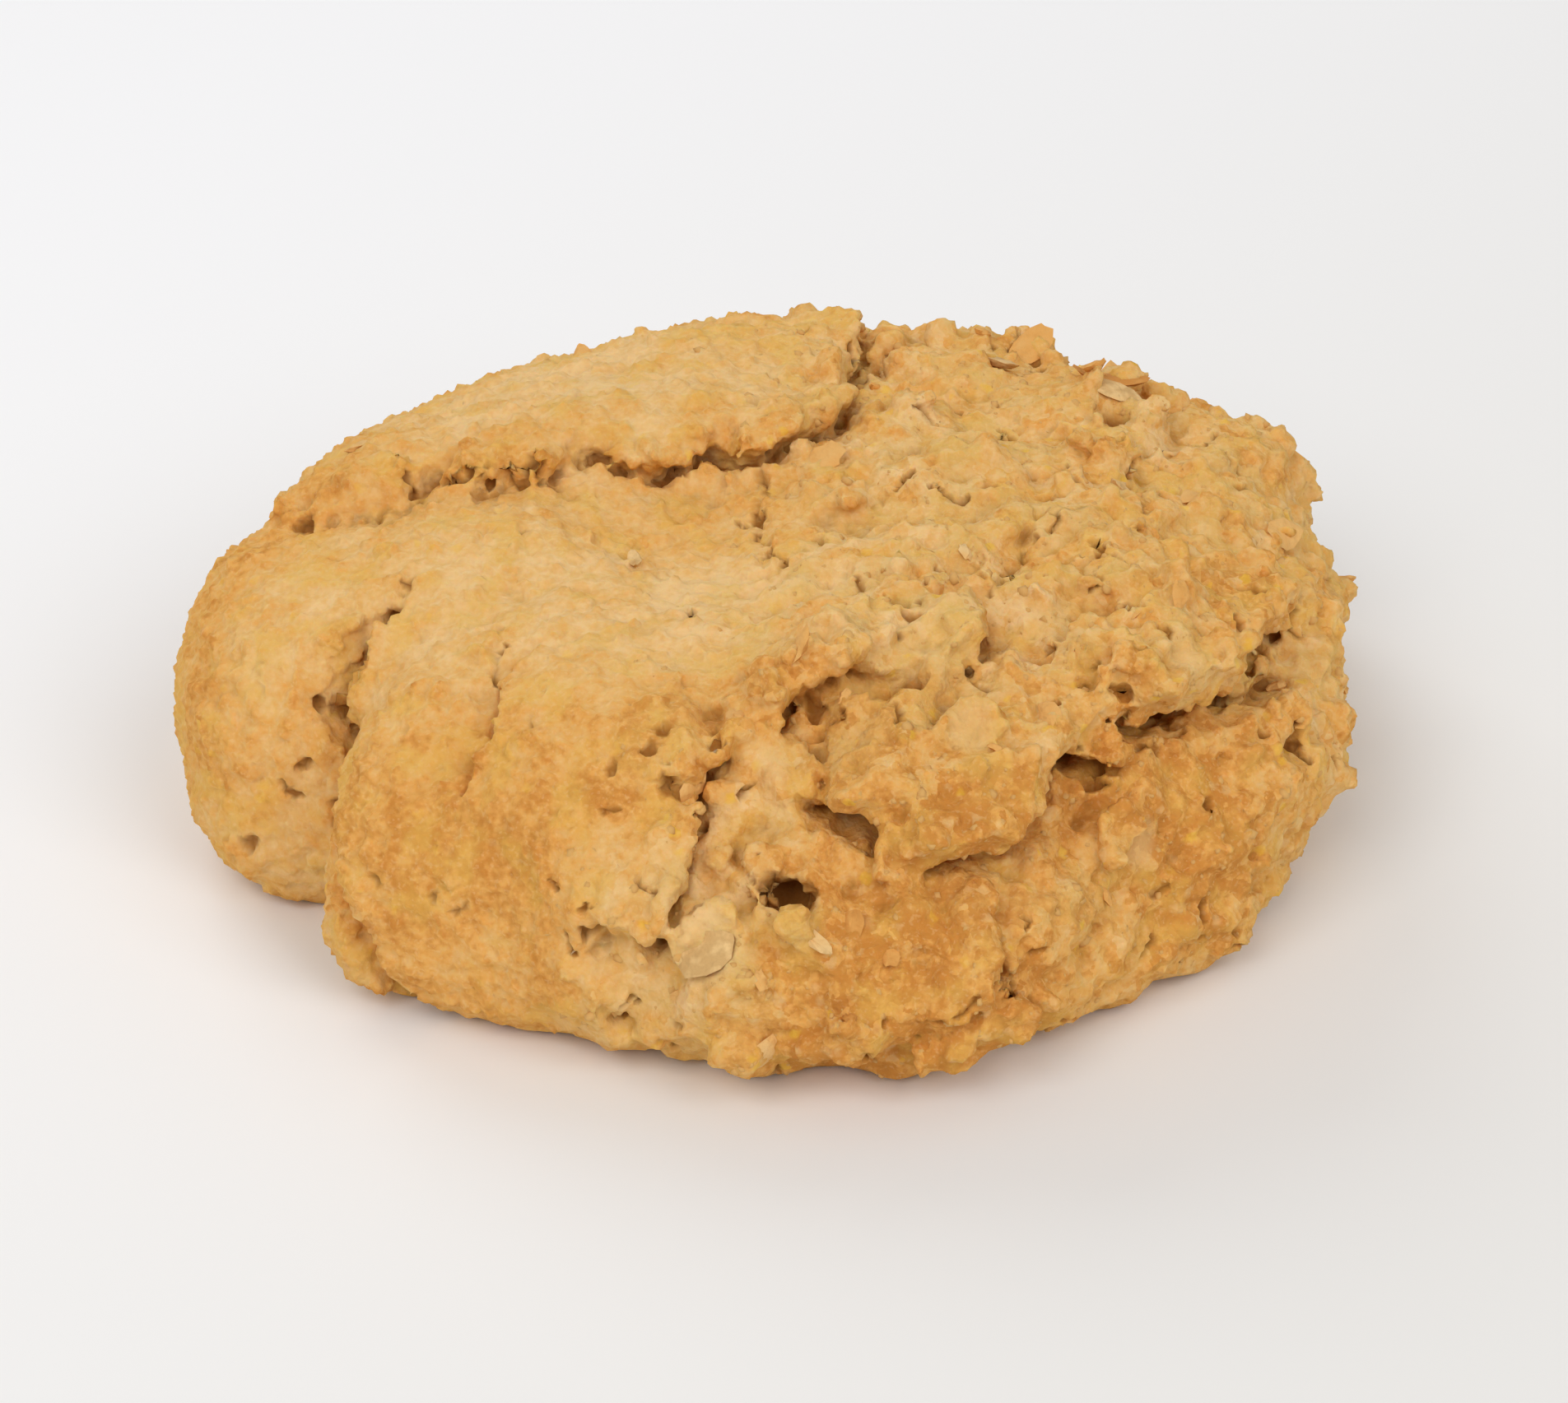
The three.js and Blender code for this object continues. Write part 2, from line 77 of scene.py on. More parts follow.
# Where the cookie is browner or paler than the rest: place and radius in millimetres, and how much more
# toasted it is there. Mostly this is the oven's browning. Low on the right front round (26, -22, 10)
# and at the bottom front round (10, -38, 6), the extra brown is also painted shade.
TOASTED_AND_SHADED_PLACES = (
    ((-31, 3, 19), 5, 0.22),
    ((-22, 4, 23), 4, 0.18),
    ((-37, -6, 16), 6, 0.24),
    ((-36, -13, 11), 6, 0.22),
    ((-19, -25, 16), 9, 0.24),
    ((-15, -31, 13), 8, 0.22),
    ((-22, -29, 6), 8, 0.06),
    ((-15, -31, 2), 8, 0.08),
    ((0, -23, 24), 4, 0.20),
    ((6, -25, 21), 4, 0.36),
    ((10, -22, 22), 3, 0.22),
    ((-2, -27, 20), 5, 0.24),
    ((8, -34, 18), 5, 0.44),
    ((13, -31, 18), 4, 0.42),
    ((21, -25, 17), 4, 0.32),
    ((28, -9, 20), 4, 0.30),
    ((31, -6, 19), 4, 0.22),
    ((17, 26, 20), 5, 0.30),
    ((28, 26, 16), 7, 0.30),
    ((22, 18, 21), 3, 0.36),
    ((35, 2, 15), 6, 0.20),
    ((8, -35, 12), 6, 0.18),
    # Partly painted shade at the bottom front.
    ((10, -38, 6), 7, 0.54),
    ((15, -36, 4), 5, 0.54),
    # Painted shade low on the right front, where less light falls.
    ((26, -22, 10), 9, 0.66),
    ((4, -37, 5), 6, 0.50),
    ((-16, 7, 22), 5, 0.16),
    ((-7, 3, 20), 9, 0.20),
    ((-14, -27, 16), 10, 0.10),
    ((-3.6, -36.0, 10.9), 4, -0.26),
    ((8, -19.6, 23.3), 4, -0.24),
    ((11.5, -20.3, 23.3), 3, -0.20),
    ((-9.5, -35, 6.5), 3, -0.20),
    ((-7, -11, 21), 9, -0.28),
    ((0, -12, 21), 6, -0.22),
    ((-13, 14, 23), 11, -0.34),
    ((-27, -8, 20), 6, -0.14),
    ((-32, -12, 17), 4, -0.10),
    ((-17, -16, 21), 7, -0.18),
    ((10, -27, 20), 5, -0.14),
    ((23, -11, 23), 6, 0.06),
    ((6, 10, 22), 8, -0.06),
)

# Fine cracks in the crust, each a line of places in millimetres.
FINE_CRACKS = (
    ((-0.3, 7.6, 20.0), (-0.8, -0.4, 20.3), (0.1, -5.4, 21.1), (0.8, -6.3, 21.4), (0.2, -7.9, 20.8)),
    ((18.5, -3.1, 22.7), (15.5, -8.5, 22.1), (14.2, -13.1, 22.8)),
    ((20.0, 6.2, 21.7), (21.4, 7.5, 22.1)),
    ((24.4, 0.0, 21.6), (24.2, 7.6, 21.0), (28.2, 12.8, 19.6)),
    ((20.7, -6.6, 22.5), (20.2, -12.0, 22.5)),
    ((10.6, 1.0, 22.2), (12.7, 0.8, 22.0)),
    ((-16.3, -16.8, 20.4), (-17.0, -19.6, 19.7)),
    (
        (-23.5, 4.1, 21.2), (-21.6, 3.8, 21.5), (-19.4, 3.1, 22.3), (-17.8, 3.2, 22.0),
        (-14.6, 3.6, 23.2),
    ),
    ((8.7, -38.3, 6.5), (10.7, -38.6, 7.6), (12.7, -38.1, 8.5), (14.5, -35.3, 8.1)),
)

# Pores: place and radius in millimetres, and how deep they are in depths of a fine crack.
PORES = (
    ((-23.1, -8.6, 20.6), 0.45, 0.7),
    ((-17.2, -14.7, 20.9), 0.4, 0.5),
    ((-27.5, -14.6, 15.5), 0.7, 0.8),
    ((-29.7, -15.6, 11.4), 0.5, 0.7),
    ((-30.3, -15.7, 9.6), 0.5, 0.7),
    ((-27.4, -17.0, 8.9), 0.6, 0.8),
    ((-23.9, -28.5, 10.6), 0.4, 0.6),
    ((-18.5, -30.4, 9.8), 0.5, 0.6),
    ((-5.7, -29.4, 18.0), 0.9, 1.2),
    ((-3.3, -27.0, 19.2), 0.6, 0.8),
    ((21.5, -22.1, 20.6), 0.7, 1.0),
    ((27.4, -21.9, 12.1), 0.5, 0.7),
    ((-16.2, -3.2, 21.3), 0.35, 0.5),
    ((24.2, -26.2, 8.2), 0.6, 0.7),
    ((-14.8, -24.7, 19.7), 0.35, 0.5),
    ((1.0, -32.9, 12.4), 1.3, 1.5),
    ((20.2, -24.2, 15.4), 0.9, 1.2),
    ((2.4, -22.3, 19.4), 0.8, 1.0),
    ((-28.2, -13.5, 14.9), 0.6, 1.0),
    ((-30.7, -15.5, 9.7), 0.5, 0.8),
    ((-29.5, -15.4, 11.6), 0.45, 0.8),
    ((-27.7, -16.9, 7.6), 0.5, 0.8),
    ((-33.4, -15.2, 5.4), 0.8, 0.8),
    ((-30.5, 2.6, 19.0), 0.8, 1.2),
    ((-23.4, 4.0, 21.2), 0.45, 0.9),
    ((-18.6, 3.1, 22.2), 0.35, 0.7),
    ((-16.4, 3.2, 22.2), 0.4, 0.8),
    ((7.3, -14.8, 23.1), 0.7, 0.9),
    ((-7.0, -28.0, 20.2), 0.7, 0.9),
    ((-6.4, -26.8, 20.9), 0.5, 0.8),
    ((-9.7, -28.6, 19.1), 0.4, 0.6),
    ((-11.1, -34.6, 10.6), 0.6, 1.0),
    ((-20.6, -29.6, 10.7), 0.5, 0.7),
    ((-19.1, -30.2, 9.6), 0.45, 0.7),
)

# Clods that stand out of the dough or lie in its cracks: place and size in millimetres.
CLODS = (
    ((12.2, 27.2, 20.4), 2.8),
    ((14.6, 26.2, 20.8), 2.2),
    ((16.7, 27.8, 19.6), 3.0),
    ((18.4, 27.0, 19.6), 2.8),
    ((19.6, 25.6, 19.7), 2.2),
    ((27.0, 21.7, 18.7), 3.6),
    ((30.7, 20.6, 16.8), 2.8),
    ((8.3, 26.6, 20.6), 2.2),
    ((33.5, 14.8, 16.2), 2.4),
    ((9.8, -37.4, 4.2), 3.0),
    ((11.6, -37.4, 5.0), 2.6),
    ((13.2, -37.0, 5.8), 3.0),
    ((15.0, -36.2, 6.4), 2.6),
    ((16.6, -33.8, 6.0), 2.8),
    ((-0.3, -24.3, 22.0), 2.6),
    ((3.1, -22.0, 19.9), 2.6),
    ((4.7, -21.6, 20.1), 2.8),
    ((6.2, -20.8, 20.0), 3.2),
    ((7.8, -20.6, 20.2), 3.0),
    ((9.2, -20.0, 20.2), 3.0),
    ((-1.9, -26.4, 20.2), 2.6),
    ((0.7, -28.5, 17.8), 3.4),
    ((-2.5, -28.7, 17.0), 2.6),
    ((-3.0, -31.2, 14.2), 3.0),
    ((-0.3, -32.2, 14.6), 2.4),
    ((-32.2, 5.0, 18.8), 2.0),
    ((-31.4, 3.8, 18.4), 1.6),
    ((-12.0, -34.2, 7.8), 2.4),
    ((-9.9, -33.6, 6.8), 3.2),
    ((-8.9, -33.7, 5.8), 2.6),
    ((-10.2, -33.6, 5.2), 2.2),
    ((-9.1, -33.4, 3.4), 3.2),
    ((-7.0, -34.7, 3.6), 2.6),
    ((-1.8, -37.5, 4.4), 3.2),
    ((2.9, -38.0, 5.4), 2.8),
    ((5.8, -38.8, 6.2), 2.8),
    ((1.7, -31.2, 15.0), 2.4),
    ((2.9, -31.4, 14.8), 2.6),
    ((4.3, -31.6, 15.1), 2.2),
    ((2.2, -23.6, 18.6), 2.4),
    ((1.0, -22.9, 18.3), 2.0),
    ((-5.0, -32.2, 16.1), 2.2),
    ((-5.2, -32.7, 15.2), 2.0),
    ((-5.4, -33.6, 14.4), 1.8),
    ((-0.4, -33.6, 13.5), 1.4),
    ((0.4, -33.1, 14.5), 1.3),
    ((2.4, -32.6, 13.4), 1.5),
    ((32.2, -7.9, 18.6), 2.2),
    ((31.6, -9.6, 18.9), 2.0),
    ((-24.0, -8.8, 19.4), 1.8),
    ((-24.7, -9.4, 18.6), 2.0),
    ((-25.4, -10.1, 17.8), 1.7),
    ((-26.1, -10.9, 17.0), 1.4),
)

# Oat flakes that lie bare in the dough: place, length and width in millimetres.
BARE_FLAKES = (
    ((-3.6, -36.0, 10.9), 5.0, 4.4),
    ((12.2, -26.6, 20.2), 3.6, 3.0),
    ((22.8, -25.5, 11.9), 3.6, 2.2),
    ((0.1, -28.4, 19.0), 3.0, 2.4),
    ((25.7, -19.9, 21.3), 2.4, 2.2),
)

# Oat flakes that stand out of the dough: place, length and width in millimetres, turn and tilt in
# degrees, and how toasted they are.
RAISED_FLAKES = (
    ((-3.6, -36.0, 10.9), 4.8, 4.2, 75, 0, 0.0),
    ((2.5, -36.8, 12.0), 4.4, 1.1, -35, 12, 0.14),
    ((23.0, 18.7, 21.5), 5.6, 2.2, 4, 10, 1.00),
    ((23.3, 16.8, 21.6), 4.2, 1.8, -8, 8, 0.05),
    ((15.5, 23.1, 20.7), 4.8, 1.6, -53, 12, 0.08),
    ((18.2, 26.7, 20.4), 4.4, 2.6, 60, 30, 0.70),
    ((-13.0, 23.0, 21.3), 2.0, 1.4, 80, 40, 0.60),
    ((34.1, 4.3, 17.8), 3.2, 2.4, 50, 20, 0.45),
    ((-0.3, -37.6, 4.4), 3.4, 2.6, 170, 14, 0.30),
)


class DoughForm(bpy.types.PropertyGroup):
    """Sizes of the baked dough's surface."""

    voxel: FloatProperty(
        name="Fineness", description="Smallest lump that the surface holds",
        default=0.25 * MM, unit="LENGTH",
    )
    edge_gain: FloatProperty(
        name="Edge gain", description="How much more torn edges stand up and crevices go down",
        default=0.35,
    )
    wander: FloatProperty(
        name="Ragged edges", description="How far torn edges and cracks wander",
        default=1.3 * MM, unit="LENGTH",
    )
    clods: FloatProperty(
        name="Clods", description="Height of the clods where the dough is torn",
        default=2.4 * MM, unit="LENGTH",
    )
    lumps: FloatProperty(
        name="Lumps", description="Height of the lumps where the dough is torn",
        default=1.2 * MM, unit="LENGTH",
    )
    fine_crack: FloatProperty(
        name="Fine cracks", description="Depth of the fine cracks", default=0.7 * MM, unit="LENGTH"
    )
    mounds: FloatProperty(
        name="Mounds", description="Height of the small mounds all over",
        default=0.75 * MM, unit="LENGTH",
    )
    meal: FloatProperty(
        name="Meal", description="Height of the mealy grain all over", default=0.55 * MM, unit="LENGTH"
    )
    triangles: IntProperty(name="Triangles", description="Most triangles of the dough", default=190000)


class CrumbGrains(bpy.types.PropertyGroup):
    """Grains of crumb in the torn dough and in the crust, nicks, and the meal on the torn dough."""

    seed: IntProperty(name="Seed", description="Where the grains lie", default=5)
    torn: IntProperty(name="Torn grains", description="Grains where the dough is torn", default=3200)
    torn_size: FloatProperty(
        name="Torn size", description="Largest grain of torn dough", default=1.7 * MM, unit="LENGTH"
    )
    crust: IntProperty(name="Crust grains", description="Grains in the smooth crust", default=6000)
    crust_size: FloatProperty(
        name="Crust size", description="Largest grain of the crust", default=1.2 * MM, unit="LENGTH"
    )
    nicks: IntProperty(name="Nicks", description="Small nicks in the torn dough", default=170)
    meal: IntProperty(name="Meal grains", description="Small grains on the torn dough", default=4200)
    meal_size: FloatProperty(
        name="Meal size", description="Largest of the small grains", default=1.0 * MM, unit="LENGTH"
    )


class BakedColours(bpy.types.PropertyGroup):
    """Colours of the dough from least to most baked, of what is in it, and of the painted shade between
    its lumps and in its cracks.
    """

    floury: FloatVectorProperty(
        name="Floury", description="Palest dough", default=(0.80, 0.53, 0.24), subtype="COLOR"
    )
    straw: FloatVectorProperty(
        name="Straw", description="Dough as it mostly is", default=(0.75, 0.445, 0.155), subtype="COLOR"
    )
    golden: FloatVectorProperty(
        name="Golden", description="Browned dough", default=(0.73, 0.37, 0.096), subtype="COLOR"
    )
    toasted: FloatVectorProperty(
        name="Toasted", description="Most browned edges", default=(0.58, 0.245, 0.05), subtype="COLOR"
    )
    butter: FloatVectorProperty(
        name="Butter", description="Dough where butter has run",
        default=(0.74, 0.45, 0.10), subtype="COLOR",
    )
    fleck: FloatVectorProperty(
        name="Yellow fleck", description="Specks of egg and butter",
        default=(0.80, 0.48, 0.05), subtype="COLOR",
    )
    crumb: FloatVectorProperty(
        name="Crumb", description="Inside of the torn dough",
        default=(0.65, 0.425, 0.135), subtype="COLOR",
    )
    # Painted shade: olive-brown darkening of the crumb in the valleys between lumps.
    moist: FloatVectorProperty(
        name="Shaded", description="Crumb between the lumps",
        default=(0.44, 0.245, 0.045), subtype="COLOR",
    )
    soaked: FloatVectorProperty(
        name="Soaked", description="Oat flake soaked by the dough",
        default=(0.60, 0.37, 0.145), subtype="COLOR",
    )
    # Painted shade: dark brown that stands for the shade deep in cracks, pits and nicks.
    crevice: FloatVectorProperty(
        name="Crevice", description="Moist crumb deep in the cracks",
        default=(0.26, 0.085, 0.012), subtype="COLOR",
    )
    oat: FloatVectorProperty(
        name="Oat", description="Cream of an oat flake", default=(0.79, 0.53, 0.235), subtype="COLOR"
    )


class LooseBits(bpy.types.PropertyGroup):
    """Oat flakes on the dough."""

    seed: IntProperty(name="Seed", description="Where the flakes fall", default=11)
    flakes: IntProperty(name="Flakes", description="Pieces of oat in the dough", default=50)
    flake_length: FloatProperty(
        name="Flake length", description="Longest piece of oat of the scattered ones",
        default=3.0 * MM, unit="LENGTH",
    )
    flake_thickness: FloatProperty(
        name="Flake thickness", description="Thickness of a flake", default=0.45 * MM, unit="LENGTH"
    )


class StudioStage(bpy.types.PropertyGroup):
    """Floor, lights and camera."""

    floor: FloatVectorProperty(
        name="Floor", description="Colour of the floor", default=(0.84, 0.83, 0.81), subtype="COLOR"
    )
    # Painted light: the floor pales towards the back left, as if lit from there.
    painted_light_floor: FloatVectorProperty(
        name="Far floor", description="Colour of the floor at the back left",
        default=(0.95, 0.95, 0.965), subtype="COLOR",
    )
    sky: FloatProperty(name="Sky", description="Strength of the light from all round", default=0.42)
    key: FloatProperty(
        name="Key", description="Power of the soft light from the left",
        default=9.8, unit="POWER",
    )
    fill: FloatProperty(
        name="Fill", description="Power of the soft light from the right",
        default=8.5, unit="POWER",
    )
    rim: FloatProperty(
        name="Rim", description="Power of the soft light from behind",
        default=4.8, unit="POWER",
    )
    aim: FloatVectorProperty(
        name="Aim", description="Point that the camera looks at",
        default=(0.94 * MM, 0.38 * MM, 6.8 * MM), subtype="TRANSLATION"
    )
    distance: FloatProperty(
        name="Distance", description="From the camera to its aim", default=340 * MM, unit="LENGTH"
    )
    elevation: FloatProperty(
        name="Elevation", description="Height of the view above level",
        default=math.radians(30), subtype="ANGLE",
    )
    lens: FloatProperty(name="Lens", description="Focal length in millimetres", default=117.6)


def select_only(piece):
    bpy.ops.object.select_all(action="DESELECT")
    piece.select_set(True)
    bpy.context.view_layer.objects.active = piece


def apply_modifier(piece, kind, **settings):
    """Adds a modifier, sets it and applies it."""
    select_only(piece)
    bpy.ops.object.modifier_add(type=kind)
    modifier = piece.modifiers[-1]
    for name, value in settings.items():
        setattr(modifier, name, value)
    bpy.ops.object.modifier_apply(modifier=modifier.name)


def texture(name, kind, **settings):
    made = bpy.data.textures.new(name, kind)
    for key, value in settings.items():
        setattr(made, key, value)
    return made


def points_of(mesh):
    spots = np.zeros(len(mesh.vertices) * 3)
    mesh.vertices.foreach_get("co", spots)
    return spots.reshape(-1, 3)


def normals_of(mesh):
    ways = np.zeros(len(mesh.vertices) * 3)
    mesh.vertex_normals.foreach_get("vector", ways)
    return ways.reshape(-1, 3)


def ramp(values, low, high):
    """Smooth step from 0 at low to 1 at high."""
    part = np.clip((values - low) / (high - low), 0, 1)
    return part * part * (3 - 2 * part)


def tornness(spots):
    """How torn the dough is: 0 on the smooth left side, 1 on the craggy right side and the front."""
    right, back = spots[:, 0] / MM, spots[:, 1] / MM
    border = 1 + 0.55 * np.minimum(0, back + 12)
    return ramp(right, border - 8, border + 9)


def patches(spots):
    """Uneven patches a few millimetres wide, from 0 to 1."""
    x, y, z = (spots / MM).T
    wave = np.sin(x / 3.1 + 1.3 * np.sin(y / 4.3))
    swell = np.sin(y / 3.7 + 1.1 * np.sin(z / 2.9 + x / 5))
    return ramp(wave + swell, -1.2, 1.2)


def clear_of_table(spots):
    """0 on the underside, 1 a little way up the side."""
    return ramp(spots[:, 2] / MM, 0.2, 1.6)


def bare(spots):
    """1 on the oat flakes that lie bare in the dough, 0 elsewhere."""
    most = np.zeros(len(spots))
    for place, length, width in BARE_FLAKES:
        off = spots / MM - np.array(place)
        across, along, up = off[:, 0] / width, off[:, 1] / length, off[:, 2] / length
        apart = np.sqrt(across ** 2 + along ** 2 + up ** 2) * 2
        most = np.maximum(most, 1 - ramp(apart, 0.75, 1.15))
    return most


def weigh(piece, name, weights):
    """A vertex group with a weight for each vertex, in steps so that it is quick to fill."""
    group = piece.vertex_groups.new(name=name)
    steps = np.round(np.clip(weights, 0, 1) * WEIGHT_STEPS).astype(int)
    for step in range(1, WEIGHT_STEPS + 1):
        group.add(np.flatnonzero(steps == step).tolist(), step / WEIGHT_STEPS, "REPLACE")
    return group.name


def relief(piece, rounds):
    """Height in millimetres of each point over its surroundings, wider the more rounds there are."""
    worn = piece.copy()
    worn.data = piece.data.copy()
    bpy.context.scene.collection.objects.link(worn)
    apply_modifier(worn, "SMOOTH", factor=1.0, iterations=rounds)
    height = ((points_of(piece.data) - points_of(worn.data)) * normals_of(piece.data)).sum(1)
    bpy.data.meshes.remove(worn.data)
    return height / MM


def across_crust(off, spots):
    """The part of an offset that runs along the crust, and not through it."""
    through = spots + np.array([0, 0, BELOW_TABLE])
    through /= np.linalg.norm(through, axis=1)[:, None]
    return off - (off * through).sum(1)[:, None] * through


def apart_from_line(spots, line):
    """Distance in millimetres along the crust of each spot from a line of places."""
    nearest = np.full(len(spots), 1e9)
    for start, end in zip(np.array(line[:-1]), np.array(line[1:])):
        way = end - start
        part = np.clip((spots - start) @ way / (way @ way), 0, 1)
        off = across_crust(spots - start - part[:, None] * way, spots)
        nearest = np.minimum(nearest, np.linalg.norm(off, axis=1))
    return nearest


def store(mesh, name, values):
    attribute = mesh.attributes.new(name, "FLOAT", "POINT")
    attribute.data.foreach_set("value", values.astype(np.float32))


def value_of(mesh, name):
    values = np.zeros(len(mesh.vertices), np.float32)
    mesh.attributes[name].data.foreach_get("value", values)
    return values


class NodeBoard:
    """A material's nodes, added and joined by short calls."""

    def __init__(self, name):
        self.material = bpy.data.materials.new(name)
        self.material.use_nodes = True
        self.tree = self.material.node_tree
        self.shader = self.tree.nodes["Principled BSDF"]

    def add(self, kind, inputs=None, **settings):
        node = self.tree.nodes.new(kind)
        for key, value in settings.items():
            setattr(node, key, value)
        for key, value in (inputs or {}).items():
            self.put(node.inputs[key], value)
        return node

    def put(self, socket, value):
        if isinstance(value, bpy.types.NodeSocket):
            self.tree.links.new(value, socket)
        else:
            socket.default_value = value

    def math(self, operation, one, other):
        return self.add("ShaderNodeMath", {0: one, 1: other}, operation=operation).outputs[0]

    def vector(self, operation, inputs):
        return self.add("ShaderNodeVectorMath", inputs, operation=operation)

    def mix(self, part, one, other):
        node = self.add("ShaderNodeMix", data_type="RGBA")
        for index, value in ((0, part), (6, one), (7, other)):
            self.put(node.inputs[index], value)
        return node.outputs[2]

    def object_place(self):
        return self.add("ShaderNodeTexCoord").outputs["Object"]

    def noise(self, place, size, detail):
        inputs = {"Vector": place, "Scale": 1 / size, "Detail": detail}
        return self.add("ShaderNodeTexNoise", inputs).outputs["Fac"]

    def attribute(self, name):
        return self.add("ShaderNodeAttribute", attribute_name=name).outputs["Fac"]

    def step(self, value, low, high):
        inputs = {"Value": value, "From Min": low, "From Max": high}
        return self.add("ShaderNodeMapRange", inputs, interpolation_type="SMOOTHSTEP").outputs[0]

    def ramp(self, value, stops):
        node = self.add("ShaderNodeValToRGB", {"Fac": value})
        band = node.color_ramp.elements
        for _ in stops[2:]:
            band.new(0.5)
        for element, (place, colour) in zip(band, stops):
            element.position = place
            element.color = (*colour, 1)
        return node.outputs["Color"]

    def bump(self, height, distance, strength=1.0):
        inputs = {"Height": height, "Distance": distance, "Strength": strength}
        return self.add("ShaderNodeBump", inputs).outputs[0]


def dough_material(colours):
    """Baked dough: straw to toasted, mottled, grain by grain where torn, with painted shade between the
    lumps and in the cracks, and painted glints.
    """
    board = NodeBoard("baked_dough")
    place = board.object_place()
    grainy = board.attribute("grainy")
    wavy = board.add("ShaderNodeTexNoise", {"Vector": place, "Scale": 1 / (0.8 * MM), "Detail": 2})
    bent = board.vector("SUBTRACT", {0: wavy.outputs["Color"], 1: (0.5, 0.5, 0.5)}).outputs[0]
    bend = board.vector("SCALE", {0: bent, "Scale": 0.9 * MM}).outputs[0]
    crooked = board.vector("ADD", {0: place, 1: bend}).outputs[0]
    cells = board.add("ShaderNodeTexVoronoi", {"Vector": crooked, "Scale": 1 / (0.9 * MM)})
    chance = board.add("ShaderNodeSeparateColor", {0: cells.outputs["Color"]})
    baked = board.attribute("toast")
    for wave, share in (
        (board.noise(place, 6.0 * MM, 3), 0.8),
        (board.noise(place, 2.2 * MM, 2), 1.1),
        (board.noise(place, 0.5 * MM, 2), 0.9),
        (chance.outputs[0], board.math("MULTIPLY", grainy, 0.45)),
    ):
        swing = board.math("SUBTRACT", wave, 0.5)
        baked = board.math("ADD", baked, board.math("MULTIPLY", swing, share))
    stops = (
        (0.0, colours.floury),
        (0.36, colours.straw),
        (0.68, colours.golden),
        (1.0, colours.toasted),
    )
    colour = board.ramp(baked, stops)
    core = board.step(cells.outputs["Distance"], 0.6, 0.25)
    inside = board.math("MULTIPLY", core, board.math("MAXIMUM", grainy, 0.5))
    butter = board.step(board.noise(place, 3.1 * MM, 4), 0.48, 0.66)
    pallid = board.math("MULTIPLY", grainy, board.math("SUBTRACT", 1.0, board.attribute("toast")))
    cream = board.math("MULTIPLY", pallid, board.step(board.noise(place, 4.6 * MM, 3), 0.54, 0.42))
    # Painted glints: tiny pale specks that stand for glints on the sugary crumb.
    painted_glints = board.step(board.noise(place, 0.3 * MM, 1), 0.56, 0.72)
    yellow = board.math("MULTIPLY", inside, board.step(chance.outputs[1], 0.965, 0.98))
    pale = board.math("MULTIPLY", inside, board.step(chance.outputs[2], 0.80, 0.95))
    for part, share, other in (
        (butter, 0.45, colours.butter),
        (cream, 0.62, colours.crumb),
        (painted_glints, 0.28, colours.floury),
        (pale, 0.45, colours.oat),
        (yellow, 0.55, colours.fleck),
        (board.attribute("oat"), 0.5, colours.oat),
        # Painted shade: olive-brown between lumps, and dark brown deep in crevices and pits.
        (board.attribute("moist"), 0.5, colours.moist),
        (board.attribute("crevice"), 0.88, colours.crevice),
    ):
        colour = board.mix(board.math("MULTIPLY", part, share), colour, (*other, 1))
    board.put(board.shader.inputs["Base Color"], colour)
    board.put(board.shader.inputs["Roughness"], 0.86)
    board.put(board.shader.inputs["Specular IOR Level"], 0.04)
    board.put(board.shader.inputs["Subsurface Weight"], 0.35)
    board.put(board.shader.inputs["Subsurface Radius"], (1.0, 0.5, 0.2))
    board.put(board.shader.inputs["Subsurface Scale"], 0.6 * MM)
    coarse = board.math("MULTIPLY", board.noise(place, 0.9 * MM, 2), 1.6)
    rough = board.math("ADD", coarse, board.noise(place, 0.35 * MM, 2))
    depth = board.math("ADD", board.math("MULTIPLY", grainy, 0.25), 0.35)
    board.put(board.shader.inputs["Normal"], board.bump(rough, 0.18 * MM, depth))
    return board.material


def oat_material(colours):
    """Oat flakes, soaked to toasted by their tone, and mottled."""
    board = NodeBoard("oat_flake")
    place = board.object_place()
    mottle = board.math("MULTIPLY", board.math("SUBTRACT", board.noise(place, 1.0 * MM, 3), 0.5), 0.6)
    stops = (
        (0.0, colours.soaked),
        (0.12, colours.oat),
        (0.36, colours.straw),
        (0.7, colours.golden),
        (1.0, colours.toasted),
    )
    board.put(
        board.shader.inputs["Base Color"],
        board.ramp(board.math("ADD", board.attribute("tone"), mottle), stops),
    )
    board.put(board.shader.inputs["Roughness"], 0.78)
    board.put(board.shader.inputs["Specular IOR Level"], 0.3)
    board.put(board.shader.inputs["Normal"], board.bump(board.noise(place, 0.45 * MM, 2), 0.16 * MM))
    return board.material


def take_place(piece):
    """Puts a finished piece in the frame."""
    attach(piece, "root")


class Skin:
    """The faces of a mesh, from which places are drawn by area and weight."""

    def __init__(self, mesh):
        count = len(mesh.polygons)
        self.areas, centres, normals = np.zeros(count), np.zeros(count * 3), np.zeros(count * 3)
        mesh.polygons.foreach_get("area", self.areas)
        mesh.polygons.foreach_get("center", centres)
        mesh.polygons.foreach_get("normal", normals)
        self.centres, self.normals = centres.reshape(-1, 3), normals.reshape(-1, 3)
        starts = np.zeros(count, int)
        mesh.polygons.foreach_get("loop_start", starts)
        corners = np.zeros(len(mesh.loops), int)
        mesh.loops.foreach_get("vertex_index", corners)
        self.corner = corners[starts]

    def draw(self, rng, count, weight):
        chance = self.areas * weight
        return rng.choice(len(chance), count, p=chance / chance.sum())


